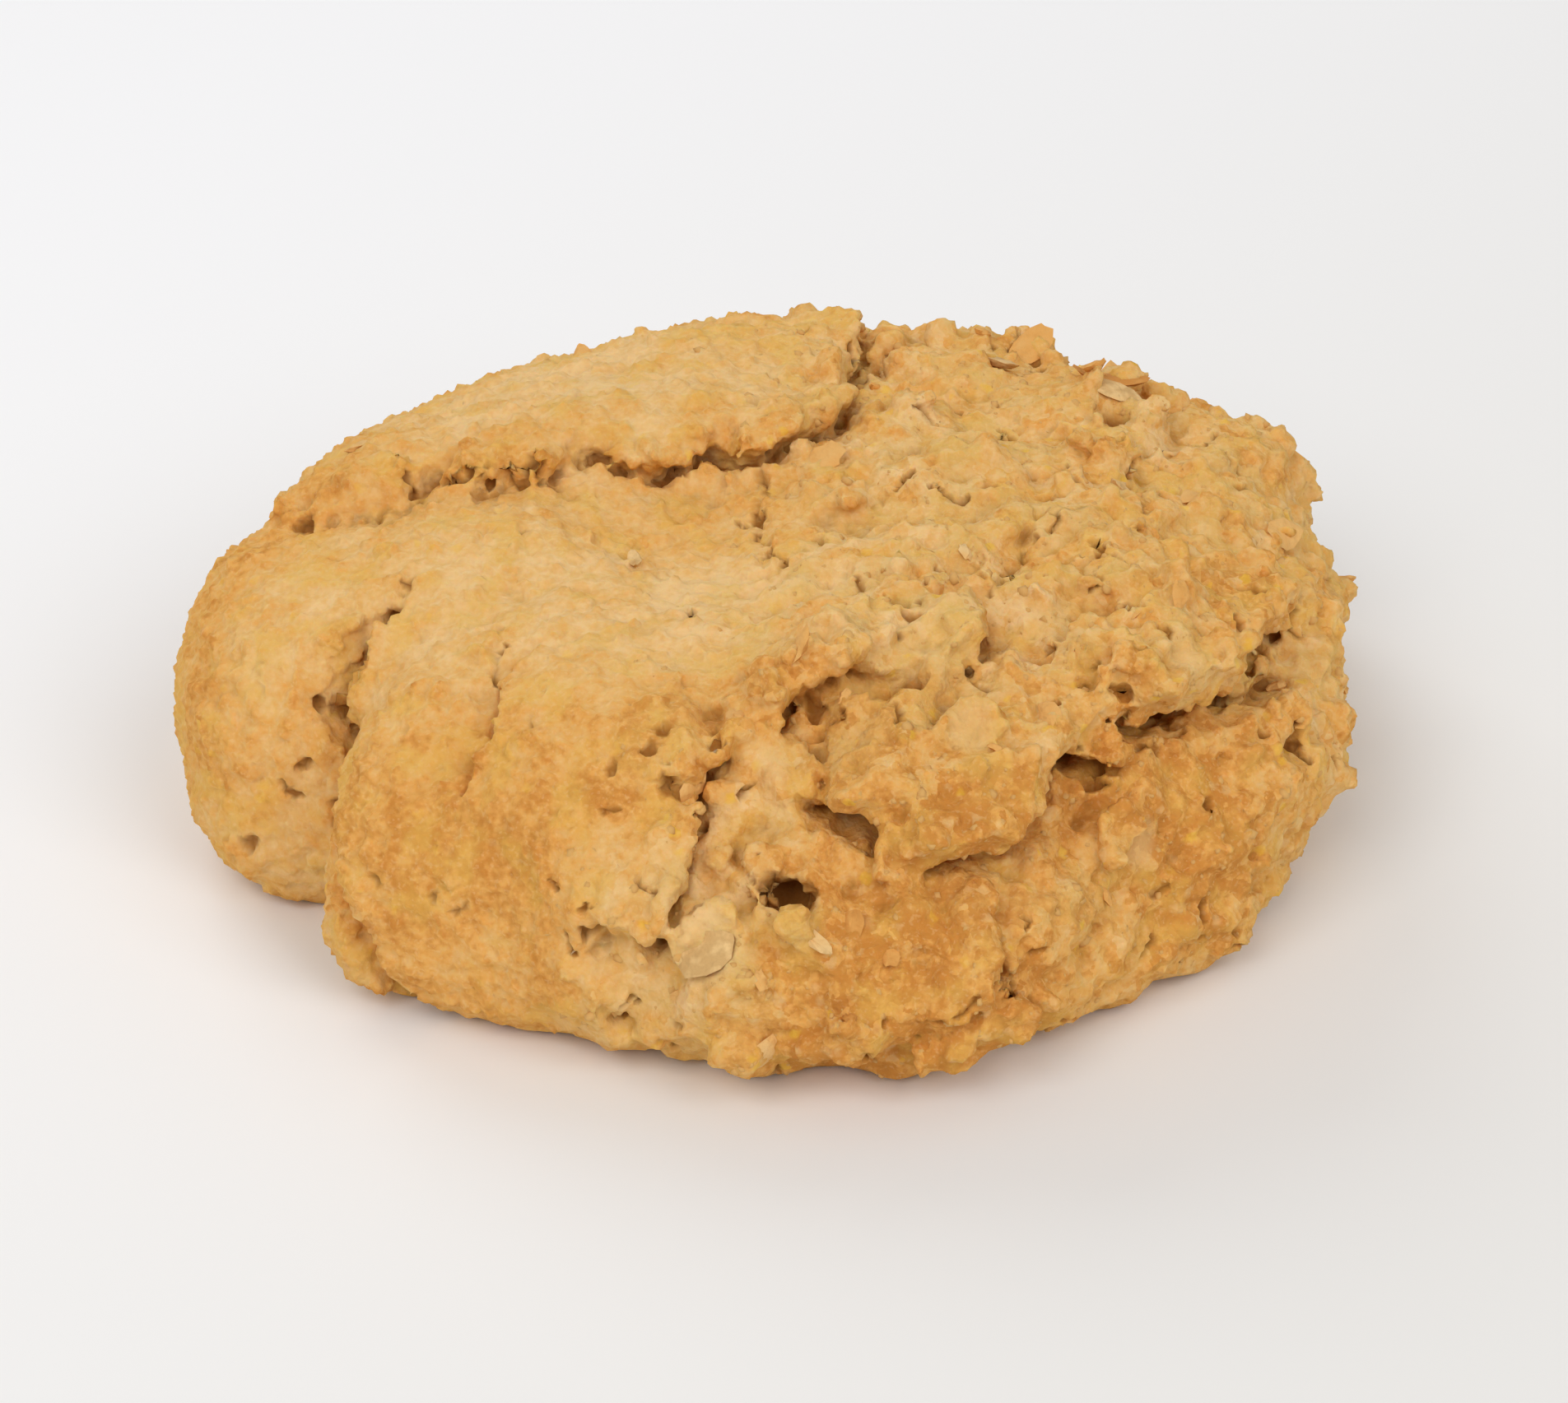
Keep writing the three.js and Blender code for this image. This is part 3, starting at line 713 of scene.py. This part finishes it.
def ball(rings):
    """Points and triangles of a plain ball."""
    bpy.ops.object.select_all(action="DESELECT")
    bpy.ops.mesh.primitive_ico_sphere_add(subdivisions=rings, radius=1)
    made = bpy.context.object
    spots = points_of(made.data)
    faces = np.array([face.vertices[:] for face in made.data.polygons])
    bpy.data.meshes.remove(made.data)
    return spots, faces


def random_turns(rng, count):
    turns = np.linalg.qr(rng.normal(size=(count, 3, 3)))[0]
    return turns * np.linalg.det(turns)[:, None, None]


def uneven_balls(rng, shape, places, sizes):
    """Uneven copies of a ball, each turned at random: all their points and triangles."""
    plain, faces = shape
    count = len(places)
    swell = np.ones((count, len(plain)))
    for waves, height in ((2.2, 0.22), (4.5, 0.13)):
        ways = random_turns(rng, count)[:, 0]
        swell += height * np.sin(waves * ways @ plain.T + rng.uniform(0, FULL_TURN, (count, 1)))
    shapes = plain * swell[:, :, None] * rng.uniform(0.6, 1.0, (count, 1, 3))
    spots = np.einsum("nvi,nij->nvj", shapes, random_turns(rng, count)) * sizes[:, None, None] / 2
    spots += places[:, None, :]
    faces = faces + (np.arange(count) * len(plain))[:, None, None]
    return spots.reshape(-1, 3), faces.reshape(-1, 3)


def triangle_piece(name, spots, faces):
    """An object from arrays of points and triangles."""
    mesh = bpy.data.meshes.new(name)
    mesh.vertices.add(len(spots))
    mesh.vertices.foreach_set("co", spots.ravel())
    mesh.loops.add(faces.size)
    mesh.loops.foreach_set("vertex_index", faces.ravel())
    mesh.polygons.add(len(faces))
    mesh.polygons.foreach_set("loop_start", np.arange(0, faces.size, 3))
    mesh.update(calc_edges=True)
    piece = bpy.data.objects.new(name, mesh)
    bpy.context.scene.collection.objects.link(piece)
    return piece


class COOKIE_OT_dough(bpy.types.Operator):
    """The baked dough: the solid's own shape with ragged edges, clods, grains of crumb and meal"""

    bl_idname = "cookie.dough"
    bl_label = "Baked dough"

    def execute(self, context):
        form = context.scene.cookie_form
        dough = self.copy_of_solid(context)
        apply_modifier(dough, "REMESH", mode="VOXEL", voxel_size=1.15 * form.voxel)
        apply_modifier(dough, "SMOOTH", factor=0.5, iterations=2)
        self.deepen(dough, form)
        rough, deep = self.tear(dough, form)
        self.add_crumb(dough, context.scene.cookie_crumb, rough, deep)
        apply_modifier(dough, "REMESH", mode="VOXEL", voxel_size=form.voxel)
        apply_modifier(dough, "SMOOTH", factor=0.5, iterations=1)
        self.grind(dough, form)
        pits = self.split(dough, form, context.scene.cookie_crumb)
        self.settle(dough)
        self.bake(dough, pits)
        triangles = 2 * len(dough.data.polygons)
        apply_modifier(dough, "DECIMATE", ratio=min(1.0, form.triangles / triangles))
        dough.data.materials.clear()
        dough.data.materials.append(dough_material(context.scene.cookie_colours))
        select_only(dough)
        bpy.ops.object.shade_smooth()
        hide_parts("cookie")
        take_place(dough)
        return {"FINISHED"}

    def copy_of_solid(self, context):
        dough = bpy.data.objects.new("baked_dough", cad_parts["cookie"].data.copy())
        context.scene.collection.objects.link(dough)
        select_only(dough)
        bpy.ops.object.mode_set(mode="EDIT")
        bpy.ops.mesh.select_all(action="SELECT")
        bpy.ops.mesh.remove_doubles(threshold=1e-6)
        bpy.ops.object.mode_set(mode="OBJECT")
        return dough

    def deepen(self, dough, form):
        """The lips of torn edges stand higher and the crevices go deeper."""
        spots = points_of(dough.data)
        height = np.clip(relief(dough, BROAD), -1.6, 0.8) * clear_of_table(spots)
        spots += normals_of(dough.data) * (height * form.edge_gain * MM)[:, None]
        dough.data.vertices.foreach_set("co", spots.ravel())
        dough.data.update()

    def tear(self, dough, form):
        """Ragged edges, clods and lumps. Gives how rough and how deep each point is."""
        spots = points_of(dough.data)
        clear, torn = clear_of_table(spots), tornness(spots)
        height = relief(dough, BROAD)
        rough = np.maximum(torn, ramp(np.abs(height), 0.22, 0.6))
        deep = ramp(-height, 0.1, 0.6)
        ragged = weigh(dough, "ragged", clear * (0.35 + 0.65 * rough))
        level = 0.35 + 0.65 * ramp(normals_of(dough.data)[:, 2], -0.1, 0.6)
        broken = np.maximum(torn, 0.7 * ramp(np.abs(height), 0.15, 0.5))
        high = clear * level * (1 - bare(spots)) * (0.6 + 0.4 * patches(spots))
        cloddy = weigh(dough, "cloddy", high * (1 - deep) * (0.22 + 0.78 * broken))
        lumpy = weigh(dough, "lumpy", high * (1 - 0.5 * deep) * (0.5 + 0.5 * broken))
        self.billow(dough, "clods", 3.4 * MM, form.clods, cloddy)
        self.stray(dough, "wander", 2.6 * MM, form.wander, ragged)
        self.billow(dough, "lumps", 1.5 * MM, form.lumps, lumpy)
        self.stray(dough, "fray", 1.1 * MM, 0.6 * form.wander, ragged)
        dough.vertex_groups.clear()
        return rough, deep

    def add_crumb(self, dough, crumb, rough, deep):
        """Grains of crumb, more or less sunk in the dough, and the clods."""
        rng = np.random.default_rng(crumb.seed)
        skin = Skin(dough.data)
        rough, deep = rough[skin.corner], deep[skin.corner]
        free = clear_of_table(skin.centres) * (1 - deep) * (1 - bare(skin.centres))
        grains = []
        for count, largest, weight, least_sunk, most_sunk in (
            (crumb.torn, crumb.torn_size, free * rough**2, 0.5, 0.95),
            (crumb.crust, crumb.crust_size, free * (1 - rough), 0.45, 0.85),
        ):
            drawn = skin.draw(rng, count, weight)
            sizes = largest * (0.25 + 0.75 * rng.uniform(size=count) ** 2.4)
            sunk = rng.uniform(least_sunk, most_sunk, count) * sizes / 2
            places = skin.centres[drawn] - skin.normals[drawn] * sunk[:, None]
            grains.append(triangle_piece("grains", *uneven_balls(rng, ball(2), places, sizes)))
        places, sizes = (np.array(column) * MM for column in zip(*CLODS))
        grains.append(triangle_piece("knobs", *uneven_balls(rng, ball(3), places, sizes)))
        select_only(dough)
        for grain in grains:
            grain.select_set(True)
        bpy.ops.object.join()

    def nicks(self, dough, crumb):
        """Ends, in millimetres, of short nicks all over the torn dough."""
        rng = np.random.default_rng(crumb.seed)
        skin = Skin(dough.data)
        weight = clear_of_table(skin.centres) * tornness(skin.centres) * (1 - bare(skin.centres))
        drawn = skin.draw(rng, crumb.nicks, weight)
        along = np.cross(skin.normals[drawn], rng.normal(size=(crumb.nicks, 3)))
        along *= rng.uniform(0.1, 0.7, (crumb.nicks, 1)) / np.linalg.norm(along, axis=1)[:, None]
        return zip(skin.centres[drawn] / MM - along, skin.centres[drawn] / MM + along)

    def split(self, dough, form, crumb):
        """Fine cracks, nicks and pores, a little crooked. Gives how deep each point lies in them."""
        spots = points_of(dough.data) / MM
        normals = normals_of(dough.data)
        bend = 2.2 * np.sin(spots[:, [2, 0, 1]] * 1.1)
        spots = spots + 0.3 * np.sin(spots[:, [1, 2, 0]] * 1.7 + bend)
        spots = spots + 0.09 * np.sin(spots[:, [2, 0, 1]] * 5.3 + spots[:, [1, 2, 0]] * 2.9)
        depth = np.zeros(len(spots))
        for line in FINE_CRACKS:
            depth = np.maximum(depth, 1 - ramp(apart_from_line(spots, line), 0.05, 0.36))
        depth *= 0.4 + 0.6 * ramp(np.sin(1.9 * spots[:, 1] + 1.1 * spots[:, 0]), -0.7, 0.3)
        for nick in self.nicks(dough, crumb):
            near = np.linalg.norm(spots - nick[0], axis=1) < 2
            apart = apart_from_line(spots[near], nick)
            depth[near] = np.maximum(depth[near], 0.8 * (1 - ramp(apart, 0.05, 0.34)))
        for place, radius, deep in PORES:
            off = spots - np.array(place)
            near = np.linalg.norm(off, axis=1) < 3
            through = normals[near].sum(0)
            through /= np.linalg.norm(through)
            apart = np.linalg.norm(off[near] - np.outer(off[near] @ through, through), axis=1) / radius
            depth[near] = np.maximum(depth[near], deep * (1 - ramp(apart, 0.3, 1.2)))
        cracks = weigh(dough, "cracks", depth / DEEPEST_PORE)
        inwards = -DEEPEST_PORE * form.fine_crack
        apply_modifier(dough, "DISPLACE", strength=inwards, mid_level=0, vertex_group=cracks)
        dough.vertex_groups.clear()
        return depth

    def grind(self, dough, form):
        """Small mounds and the mealy grain."""
        spots = points_of(dough.data)
        mealy = clear_of_table(spots) * (1 - 0.4 * tornness(spots))
        mounds = texture("mounds", "CLOUDS", noise_scale=1.3 * MM, noise_depth=1)
        group = weigh(dough, "mounds", mealy)
        apply_modifier(
            dough, "DISPLACE", texture=mounds, texture_coords="LOCAL", strength=form.mounds,
            vertex_group=group,
        )
        self.billow(dough, "meal", 0.8 * MM, form.meal, weigh(dough, "meal", mealy))
        dough.vertex_groups.clear()

    def billow(self, dough, name, size, height, group):
        """Uneven rounded lumps with sharp valleys between them."""
        lumps = texture(name, "CLOUDS", noise_type="HARD_NOISE", noise_scale=size, noise_depth=2)
        apply_modifier(
            dough, "DISPLACE", texture=lumps, texture_coords="LOCAL", strength=height, mid_level=0.35,
            vertex_group=group,
        )

    def stray(self, dough, name, size, reach, group):
        """Every point strays sideways, so that lines on the dough become ragged."""
        clouds = texture(name, "CLOUDS", cloud_type="COLOR", noise_scale=size, noise_depth=2)
        apply_modifier(
            dough, "DISPLACE", texture=clouds, texture_coords="LOCAL", direction="RGB_TO_XYZ",
            strength=reach, vertex_group=group,
        )

    def settle(self, dough):
        """The underside lies flat on the table."""
        spots = points_of(dough.data)
        spots[:, 2] = np.maximum(spots[:, 2], 0)
        dough.data.vertices.foreach_set("co", spots.ravel())
        dough.data.update()

    def bake(self, dough, pits):
        """How toasted each place is, partly painted shade low on the right front and at the base, the
        painted shade between lumps and deep in crevices, how grainy each place is, and the bare flakes.
        """
        mesh = dough.data
        spots = points_of(mesh)
        valley, edge, hollow = relief(dough, NEAR), relief(dough, MIDDLE), relief(dough, WIDE)
        toast = np.full(len(spots), PLAIN_TOAST)
        for place, radius, more in TOASTED_AND_SHADED_PLACES:
            apart = np.linalg.norm(spots / MM - np.array(place), axis=1)
            toast += more * np.exp(-((apart / radius) ** 2))
        toast += 0.16 * np.clip(hollow / 0.9, 0, 1.2)
        toast += (0.10 - 0.18 * tornness(spots)) * np.clip(edge / 0.35, -1, 1)
        # Browner at the base: partly the real browning of the underside, partly painted shade at the
        # foot of the sides.
        toast += 0.30 * ramp(-spots[:, 2] / MM, -2.4, 0.0)
        store(mesh, "toast", np.clip(toast, 0, MOST_TOAST))
        # Painted shade deep in wide hollows and in the pits of cracks, nicks and pores.
        store(mesh, "crevice", np.maximum(ramp(-hollow, 0.35, 1.2), 0.85 * ramp(pits, 0.2, 0.7)))
        # Painted shade between lumps: darker where a point lies low against its near and middle
        # surroundings.
        store(mesh, "moist", np.maximum(0.5 * ramp(-valley, 0.14, 0.5), 0.8 * ramp(-edge, 0.2, 0.7)))
        store(mesh, "grainy", np.maximum(tornness(spots), ramp(np.abs(hollow), 0.3, 0.8)))
        store(mesh, "oat", bare(spots))


def axes_on(normal, turn, tilt):
    """Length, width and thickness directions of a flake on a surface, turned and tilted."""
    up = Vector(normal).normalized()
    level = Vector((1, 0, 0)) if abs(up.x) < 0.9 else Vector((0, 1, 0))
    side = (level - level.dot(up) * up).normalized()
    along = side * math.cos(turn) + up.cross(side) * math.sin(turn)
    across = up.cross(along)
    raised = along * math.cos(tilt) + up * math.sin(tilt)
    return np.array([raised, across, up * math.cos(tilt) - along * math.sin(tilt)])


def flake_faces():
    """Triangles of a flake: its rim, a ring above and below, and a middle point on each side."""
    upper, lower, top, under = FLAKE_RIM, 2 * FLAKE_RIM, 3 * FLAKE_RIM, 3 * FLAKE_RIM + 1
    faces = []
    for i in range(FLAKE_RIM):
        j = (i + 1) % FLAKE_RIM
        faces += [(i, j, upper + j), (i, upper + j, upper + i)]
        faces += [(j, i, lower + i), (j, lower + i, lower + j)]
        faces += [(upper + i, upper + j, top), (lower + j, lower + i, under)]
    return np.array(faces)


def flake_spots(rng, length, width, thickness, broken):
    """Points of an uneven oval flake, more or less broken at its rim, thin there and bent."""
    angles = (np.arange(FLAKE_RIM) + rng.uniform(-0.3, 0.3, FLAKE_RIM)) * 2 * math.pi / FLAKE_RIM
    reach = 1 - rng.uniform(-0.3, 1, FLAKE_RIM) * broken
    rim = np.stack([np.cos(angles) * length / 2 * reach, np.sin(angles) * width / 2 * reach], 1)
    rings = [np.column_stack([rim, np.zeros(FLAKE_RIM)])]
    for side in (1, -1):
        rings.append(np.column_stack([rim * 0.7, np.full(FLAKE_RIM, side * 0.42 * thickness)]))
    for side in (1, -1):
        rings.append(np.array([[0, 0, side * 0.5 * thickness]]))
    spots = np.concatenate(rings)
    spots[:, 2] += rng.uniform(-0.2, 0.6) * spots[:, 0] ** 2 / length
    spots[:, 2] += rng.uniform(-0.6, 0.6) * spots[:, 1] ** 2 / width
    spots[:, 2] += rng.uniform(-0.25, 0.25, len(spots)) * thickness
    return spots


def toned_piece(name, spots, faces, tones, material):
    """A piece of many flakes, each with its tone on its points."""
    spots[:, 2] = np.maximum(spots[:, 2], 0)
    piece = triangle_piece(name, spots, faces)
    store(piece.data, "tone", np.clip(tones, 0, 1))
    piece.data.materials.append(material)
    select_only(piece)
    bpy.ops.object.shade_smooth_by_angle(angle=math.radians(60))
    take_place(piece)


def on_torn(skin):
    """Weight of places on torn dough that faces up or sideways."""
    spots = skin.centres
    return (0.08 + 0.92 * tornness(spots)) * ramp(skin.normals[:, 2], -0.5, 0.2) * clear_of_table(spots)


class COOKIE_OT_flakes(bpy.types.Operator):
    """The oat flakes: those that stand out, and broken ones scattered over the torn side"""

    bl_idname = "cookie.flakes"
    bl_label = "Oat flakes"

    def execute(self, context):
        bits = context.scene.cookie_bits
        rng = np.random.default_rng(bits.seed)
        dough = bpy.data.objects["baked_dough"]
        skin, toast = Skin(dough.data), value_of(dough.data, "toast")
        spots, normals = points_of(dough.data), normals_of(dough.data)
        laid, tones = [], []
        for place, length, width, turn, tilt, tone in RAISED_FLAKES:
            near = np.linalg.norm(spots - np.array(place) * MM, axis=1) < max(length, 3) * MM / 2
            if not near.any():
                raise RuntimeError("a flake found no dough to lie on")
            spot, normal = spots[near].mean(0), normals[near].mean(0)
            flake = flake_spots(rng, length * MM, width * MM, bits.flake_thickness, 0.1)
            laid.append(flake @ axes_on(normal, math.radians(turn), math.radians(tilt)) + spot)
            tones.append(tone)
        for face in skin.draw(rng, bits.flakes, on_torn(skin)):
            length = bits.flake_length * rng.uniform(0.4, 1.0)
            flake = flake_spots(rng, length, length * rng.uniform(0.5, 0.8), bits.flake_thickness, 0.26)
            axes = axes_on(skin.normals[face], rng.uniform(0, FULL_TURN), rng.normal(0, 0.35))
            laid.append(flake @ axes + skin.centres[face] - skin.normals[face] * 0.1 * MM)
            tones.append(toast[skin.corner[face]] + rng.normal(0, 0.1))
        count = 3 * FLAKE_RIM + 2
        faces = flake_faces() + (np.arange(len(laid)) * count)[:, None, None]
        material = oat_material(context.scene.cookie_colours)
        tones = np.repeat(tones, count)
        toned_piece("oat_flakes", np.concatenate(laid), faces.reshape(-1, 3), tones, material)
        return {"FINISHED"}


class COOKIE_OT_meal(bpy.types.Operator):
    """Small grains of crumb on the torn dough, half sunk in it and each baked a little differently"""

    bl_idname = "cookie.meal"
    bl_label = "Meal"

    def execute(self, context):
        crumb = context.scene.cookie_crumb
        rng = np.random.default_rng(crumb.seed + 1)
        dough = bpy.data.objects["baked_dough"].data
        skin = Skin(dough)
        free = clear_of_table(skin.centres) * (1 - bare(skin.centres))
        weight = free * (1 - value_of(dough, "crevice")[skin.corner]) * tornness(skin.centres)
        drawn = skin.draw(rng, crumb.meal, weight)
        sizes = crumb.meal_size * (0.35 + 0.65 * rng.uniform(size=crumb.meal) ** 2)
        sunk = rng.uniform(0.2, 0.45, crumb.meal) * sizes
        places = skin.centres[drawn] - skin.normals[drawn] * sunk[:, None]
        spots, faces = uneven_balls(rng, ball(1), places, sizes)
        spots[:, 2] = np.maximum(spots[:, 2], 0)
        meal = triangle_piece("meal", spots, faces)
        tones = value_of(dough, "toast")[skin.corner[drawn]] + rng.normal(0, 0.14, crumb.meal)
        tones = np.clip(tones, 0, MOST_TOAST)
        store(meal.data, "toast", np.repeat(tones, len(spots) // crumb.meal))
        meal.data.materials.append(bpy.data.materials["baked_dough"])
        select_only(meal)
        bpy.ops.object.shade_smooth()
        take_place(meal)
        return {"FINISHED"}


class COOKIE_OT_stage(bpy.types.Operator):
    """Pale floor, soft light and the camera"""

    bl_idname = "cookie.stage"
    bl_label = "Stage"

    def execute(self, context):
        stage = context.scene.cookie_stage
        bpy.ops.object.select_all(action="DESELECT")
        bpy.ops.mesh.primitive_plane_add(size=3.0)
        floor = context.object
        floor.name = "floor"
        floor.data.materials.append(self.floor_material(stage))
        for name, place, width in LIGHTS:
            self.light(name, place, width, getattr(stage, name))
        world = bpy.data.worlds.new("soft_room")
        world.use_nodes = True
        world.node_tree.nodes["Background"].inputs["Color"].default_value = (1.0, 0.99, 0.975, 1)
        world.node_tree.nodes["Background"].inputs["Strength"].default_value = stage.sky
        context.scene.world = world
        context.scene.view_settings.view_transform = "Standard"
        self.camera(stage)
        return {"FINISHED"}

    def floor_material(self, stage):
        board = NodeBoard("pale_floor")
        # Painted light: the floor's colour pales towards the back left, a gradient of light painted in.
        far = board.vector("DOT_PRODUCT", {0: board.object_place(), 1: (-0.8, 0.6, 0)})
        part = board.step(far.outputs["Value"], -0.10, 0.12)
        colour = board.mix(part, (*stage.floor, 1), (*stage.painted_light_floor, 1))
        board.put(board.shader.inputs["Base Color"], colour)
        board.put(board.shader.inputs["Roughness"], 0.7)
        board.put(board.shader.inputs["Specular IOR Level"], 0.2)
        return board.material

    def light(self, name, place, size, power):
        bpy.ops.object.light_add(type="AREA", location=place)
        lamp = bpy.context.object
        lamp.name = name
        lamp.data.energy = power
        lamp.data.shape = "DISK"
        lamp.data.size = size
        lamp.rotation_euler = (Vector((0, 0, 0.01)) - Vector(place)).to_track_quat("-Z", "Y").to_euler()

    def camera(self, stage):
        aim = Vector(stage.aim)
        back = Vector((0, -math.cos(stage.elevation), math.sin(stage.elevation)))
        bpy.ops.object.camera_add(
            location=aim + back * stage.distance, rotation=(math.pi / 2 - stage.elevation, 0, 0)
        )
        camera = bpy.context.object
        camera.name = "camera"
        camera.data.sensor_fit = "HORIZONTAL"
        camera.data.sensor_width = 36
        camera.data.lens = stage.lens
        camera.data.clip_start = 0.005
        bpy.context.scene.camera = camera


OPERATORS = (COOKIE_OT_dough, COOKIE_OT_flakes, COOKIE_OT_meal, COOKIE_OT_stage)


class COOKIE_PT_panel(bpy.types.Panel):
    """Lists the cookie's pieces"""

    bl_idname = "COOKIE_PT_panel"
    bl_label = "Oatmeal cookie"
    bl_space_type = "VIEW_3D"
    bl_region_type = "UI"
    bl_category = "Cookie"

    def draw(self, context):
        for operator in OPERATORS:
            self.layout.operator(operator.bl_idname)


SETTINGS = {
    "cookie_form": DoughForm,
    "cookie_crumb": CrumbGrains,
    "cookie_colours": BakedColours,
    "cookie_bits": LooseBits,
    "cookie_stage": StudioStage,
}


def register():
    for name, group in SETTINGS.items():
        bpy.utils.register_class(group)
        setattr(bpy.types.Scene, name, PointerProperty(type=group))
    for made in (*OPERATORS, COOKIE_PT_panel):
        bpy.utils.register_class(made)


def unregister():
    for made in reversed((*OPERATORS, COOKIE_PT_panel)):
        bpy.utils.unregister_class(made)
    for name, group in SETTINGS.items():
        delattr(bpy.types.Scene, name)
        bpy.utils.unregister_class(group)


def main():
    register()
    bpy.ops.cookie.dough()
    bpy.ops.cookie.flakes()
    bpy.ops.cookie.meal()
    bpy.ops.cookie.stage()


if __name__ == "__main__":
    main()
